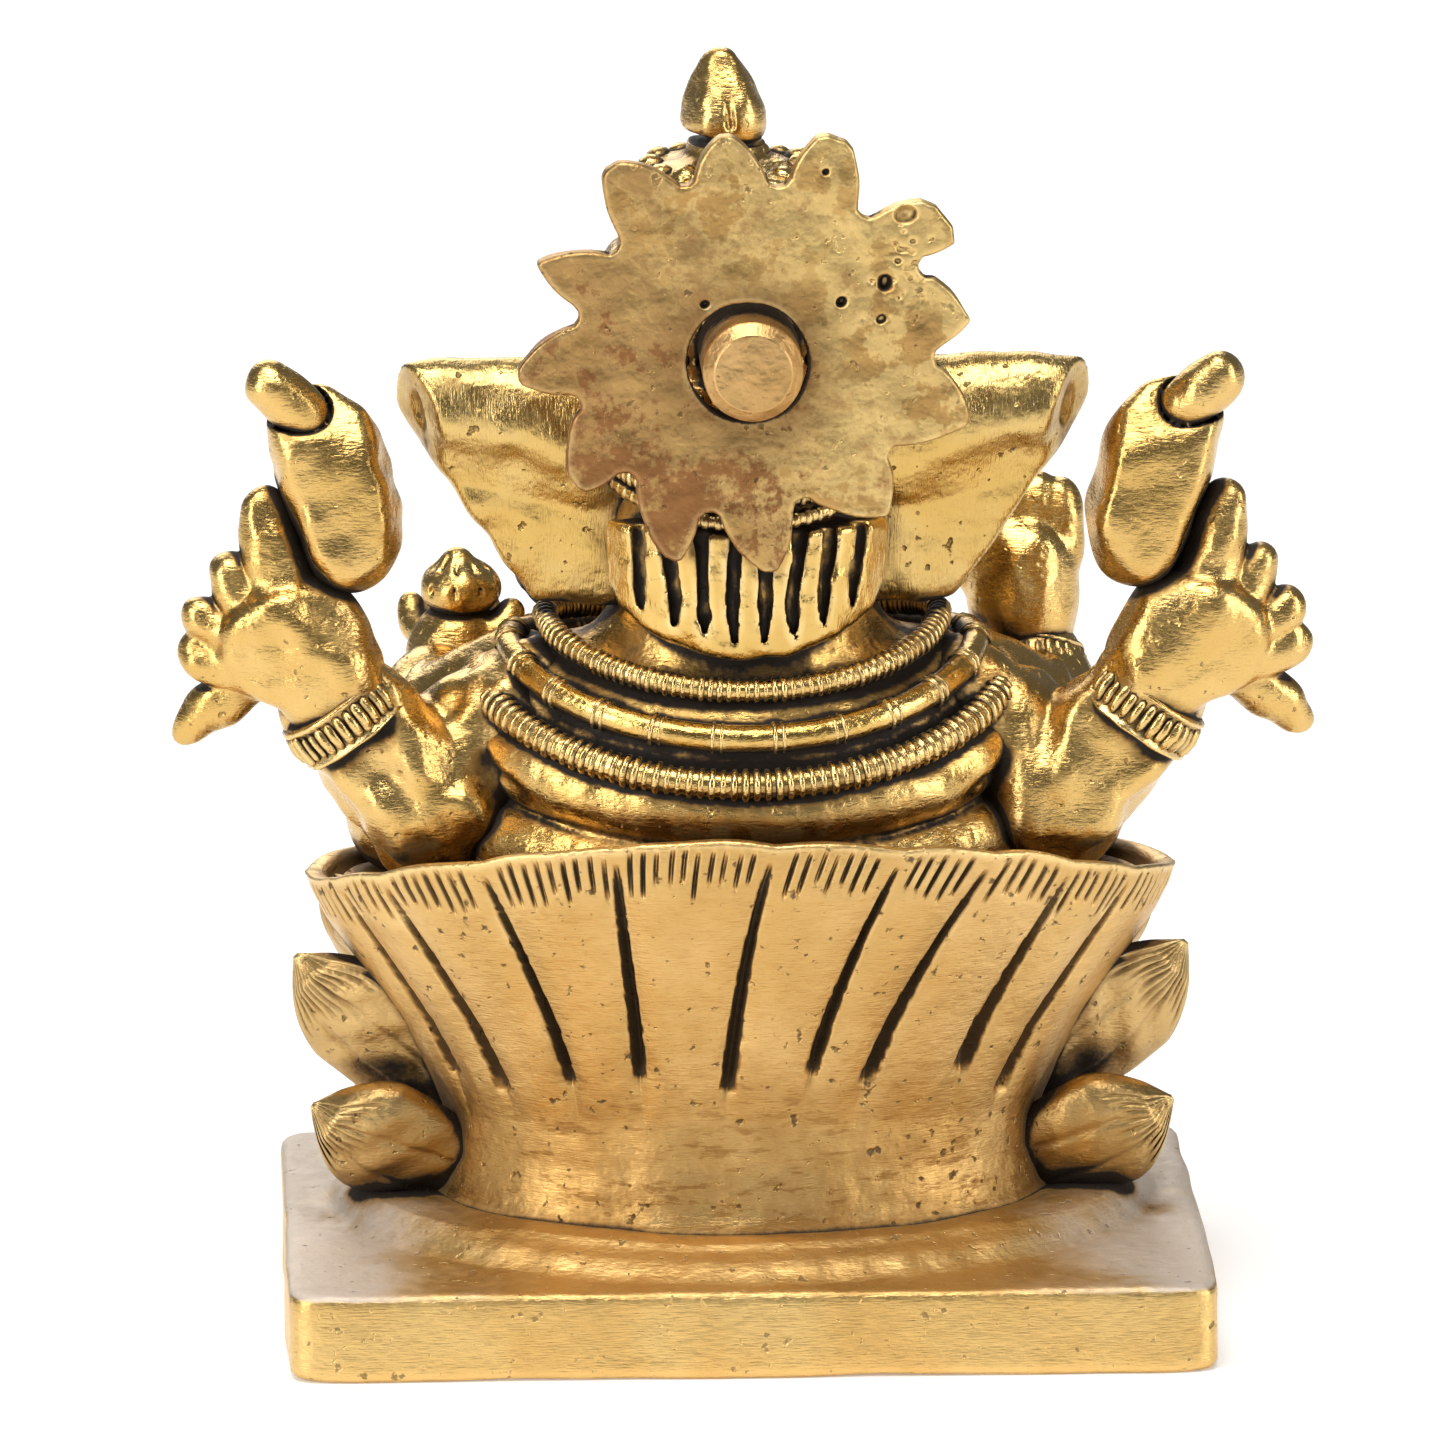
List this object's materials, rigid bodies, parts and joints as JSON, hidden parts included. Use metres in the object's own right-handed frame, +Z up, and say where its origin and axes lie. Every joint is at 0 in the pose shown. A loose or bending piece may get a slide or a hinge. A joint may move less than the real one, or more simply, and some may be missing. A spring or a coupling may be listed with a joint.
{
  "type": "ganesha idol",
  "caption": "Small cast brass elephant-headed seated figure on a lotus and slab, with a loose sun disc that turns on a peg behind the head.",
  "frame": {"origin": "centre of the slab's underside", "axes": "+Z up, the figure faces -Y, its own left side is +X"},
  "size_m": [0.0788, 0.0466, 0.0894],
  "materials": {
    "gold_brass": "hand-polished high spots over near-black tarnish in the recesses",
    "satin_brass": "filed and brushed satin with fine scratches and casting pits",
    "dull_brass": "matt, mottled tan with coppery patches"
  },
  "bodies": {
    "figure": {"base_slab": "satin_brass", "lotus_cup": "satin_brass", "lotus_petals_upper": "satin_brass", "lotus_petals_middle": "satin_brass", "lotus_petals_lower": "satin_brass", "torso": "gold_brass", "belly": "gold_brass", "left_leg": "gold_brass", "right_leg": "gold_brass", "left_foot": "gold_brass", "right_foot": "gold_brass", "sacred_thread": "gold_brass", "necklace_upper": "gold_brass", "necklace_middle": "gold_brass", "necklace_lower": "gold_brass", "left_rear_arm": "gold_brass", "right_rear_arm": "gold_brass", "left_rear_bracelet": "gold_brass", "right_rear_bracelet": "gold_brass", "left_rear_hand": "gold_brass", "right_rear_hand": "gold_brass", "noose": "gold_brass", "axe": "gold_brass", "left_front_arm": "gold_brass", "right_front_arm": "gold_brass", "left_front_bracelet": "gold_brass", "right_front_bracelet": "gold_brass", "left_front_hand": "gold_brass", "right_front_hand": "gold_brass", "sweet": "gold_brass", "head": "gold_brass", "trunk": "gold_brass", "left_tusk": "dull_brass", "right_tusk": "dull_brass", "left_ear": "gold_brass", "right_ear": "gold_brass", "hair": "gold_brass", "crown": "gold_brass", "crown_finial": "gold_brass", "halo_peg": "dull_brass"},
    "disc": {"halo_disc": "dull_brass"}
  },
  "joints": [
    {"name": "disc_spin", "type": "hinge", "parent": "figure", "child": "disc", "pos_m": [0, 0.0147, 0.0701], "axis": [0, 1, 0], "continuous": true}
  ]
}
